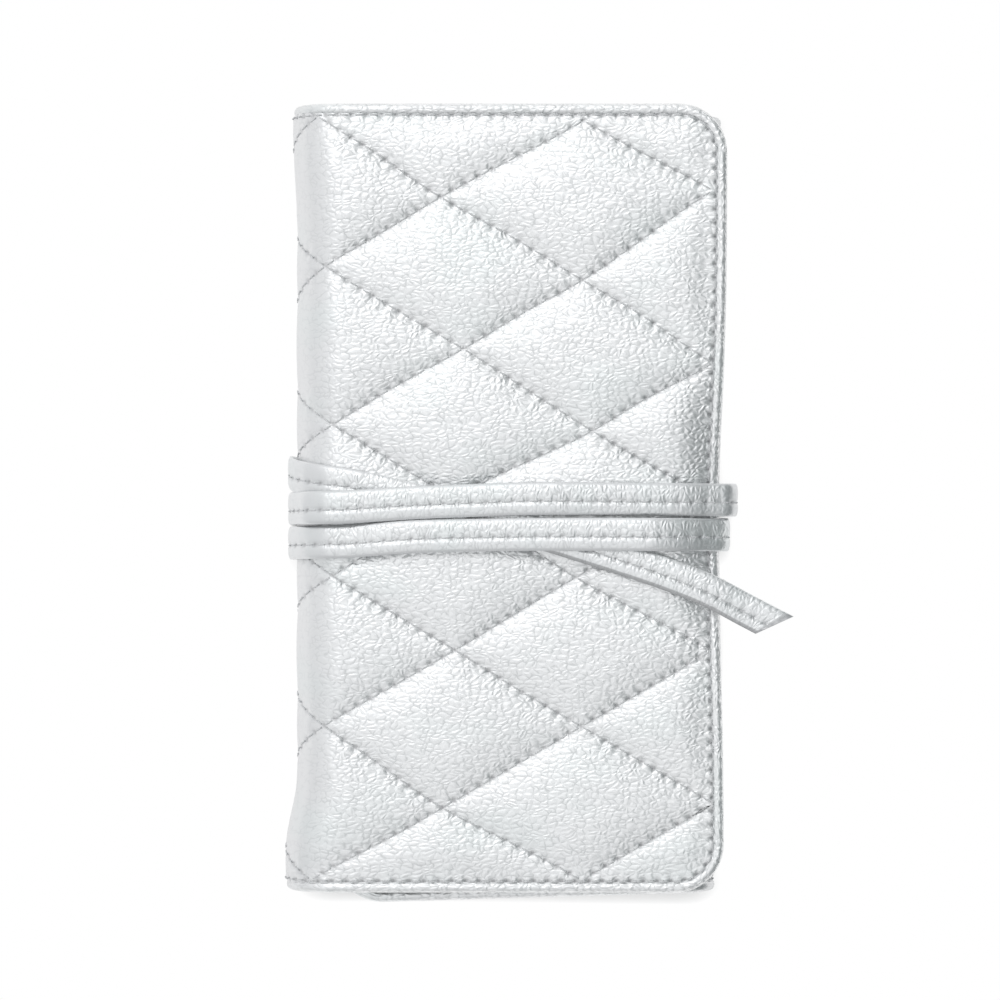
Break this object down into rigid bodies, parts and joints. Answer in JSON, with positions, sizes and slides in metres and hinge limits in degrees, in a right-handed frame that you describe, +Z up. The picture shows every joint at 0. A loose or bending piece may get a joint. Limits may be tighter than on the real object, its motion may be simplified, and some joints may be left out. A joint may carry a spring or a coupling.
{
  "type": "jewelry roll",
  "caption": "Quilted padded jewelry roll folded in three over a zip pocket, a snapped ring bar and a slip pocket, held shut by a long flat tie strap wound round it.",
  "frame": {"origin": "on the ground under the middle of the folded roll, its tie strap left out", "axes": "+Y along the long edges, +X from the left fold to the flap's free edge, +Z up out of the top flap"},
  "size_m": [0.1454, 0.2316, 0.0324],
  "materials": {
    "quilted_leather": "silver metallic pebbled leather, quilted in diamonds",
    "strap_leather": "silver metallic pebbled leather, stitched along its middle",
    "lining": "soft pale grey suedette",
    "wadding": "white wadding",
    "zip_tape": "woven grey tape",
    "zip_coil": "grey nylon coil",
    "metal": "polished nickel"
  },
  "bodies": {
    "back": {"back_shell": "quilted_leather", "back_wadding": "wadding", "back_lining": "lining", "zip_tape_left": "zip_tape", "zip_tape_right": "zip_tape", "zip_coil_left": "zip_coil", "zip_coil_right": "zip_coil", "zip_top_stop": "metal", "zip_bottom_stop": "metal", "zip_pocket_panel": "lining", "ring_bar_tab": "lining", "snap_stud": "metal", "tie_strap": "strap_leather"},
    "left_spine": {"left_spine_shell": "quilted_leather", "left_spine_wadding": "wadding", "left_spine_lining": "lining"},
    "top_flap": {"top_flap_shell": "quilted_leather", "top_flap_wadding": "wadding", "top_flap_lining": "lining", "slip_pocket_panel": "lining", "slip_pocket_hem": "quilted_leather"},
    "right_spine": {"right_spine_shell": "quilted_leather", "right_spine_wadding": "wadding", "right_spine_lining": "lining"},
    "inner_flap": {"inner_flap_shell": "quilted_leather", "inner_flap_wadding": "wadding", "inner_flap_lining": "lining"},
    "zip_slider": {"zip_slider": "metal"},
    "zip_pull": {"zip_pull": "metal"},
    "ring_bar": {"ring_bar_sleeve": "lining", "ring_bar_core": "wadding", "ring_bar_end_tab": "lining", "snap_socket": "metal", "snap_cap": "metal"}
  },
  "joints": [
    {"name": "left_fold_lower", "type": "hinge", "parent": "back", "child": "left_spine", "pos_m": [-0.05858, 0, 0.0041], "axis": [0, -1, 0], "range_deg": [0, 90], "deforming": ["tie_strap"]},
    {"name": "left_fold_upper", "type": "hinge", "parent": "left_spine", "child": "top_flap", "pos_m": [-0.05858, 0, 0.0239], "axis": [0, -1, 0], "range_deg": [0, 90]},
    {"name": "right_fold_lower", "type": "hinge", "parent": "back", "child": "right_spine", "pos_m": [0.05753, 0, 0.00278], "axis": [0, 1, 0], "range_deg": [0, 22.5]},
    {"name": "right_fold_upper", "type": "hinge", "parent": "right_spine", "child": "inner_flap", "pos_m": [0.05753, 0, 0.01622], "axis": [0, 1, 0], "range_deg": [0, 22.5]},
    {"name": "ring_bar_lift", "type": "hinge", "parent": "back", "child": "ring_bar", "pos_m": [0.03965, 0.02634, 0.0079], "axis": [0, 1, 0], "range_deg": [0, 41]},
    {"name": "zip_slide", "type": "slide", "parent": "back", "child": "zip_slider", "axis": [0, -1, 0], "range_m": [0, 0.1734]},
    {"name": "zip_pull_swing", "type": "hinge", "parent": "zip_slider", "child": "zip_pull", "pos_m": [-0.03618, 0.08804, 0.0099], "axis": [-1, 0, 0], "range_deg": [0, 15]}
  ],
  "couplings": [
    {"joint": "left_fold_upper", "follows": "left_fold_lower", "ratio": 1},
    {"joint": "right_fold_lower", "follows": "left_fold_lower", "ratio": 0.25},
    {"joint": "right_fold_upper", "follows": "left_fold_lower", "ratio": 0.25},
    {"joint": "ring_bar_lift", "follows": "left_fold_lower", "ratio": 0.45}
  ]
}
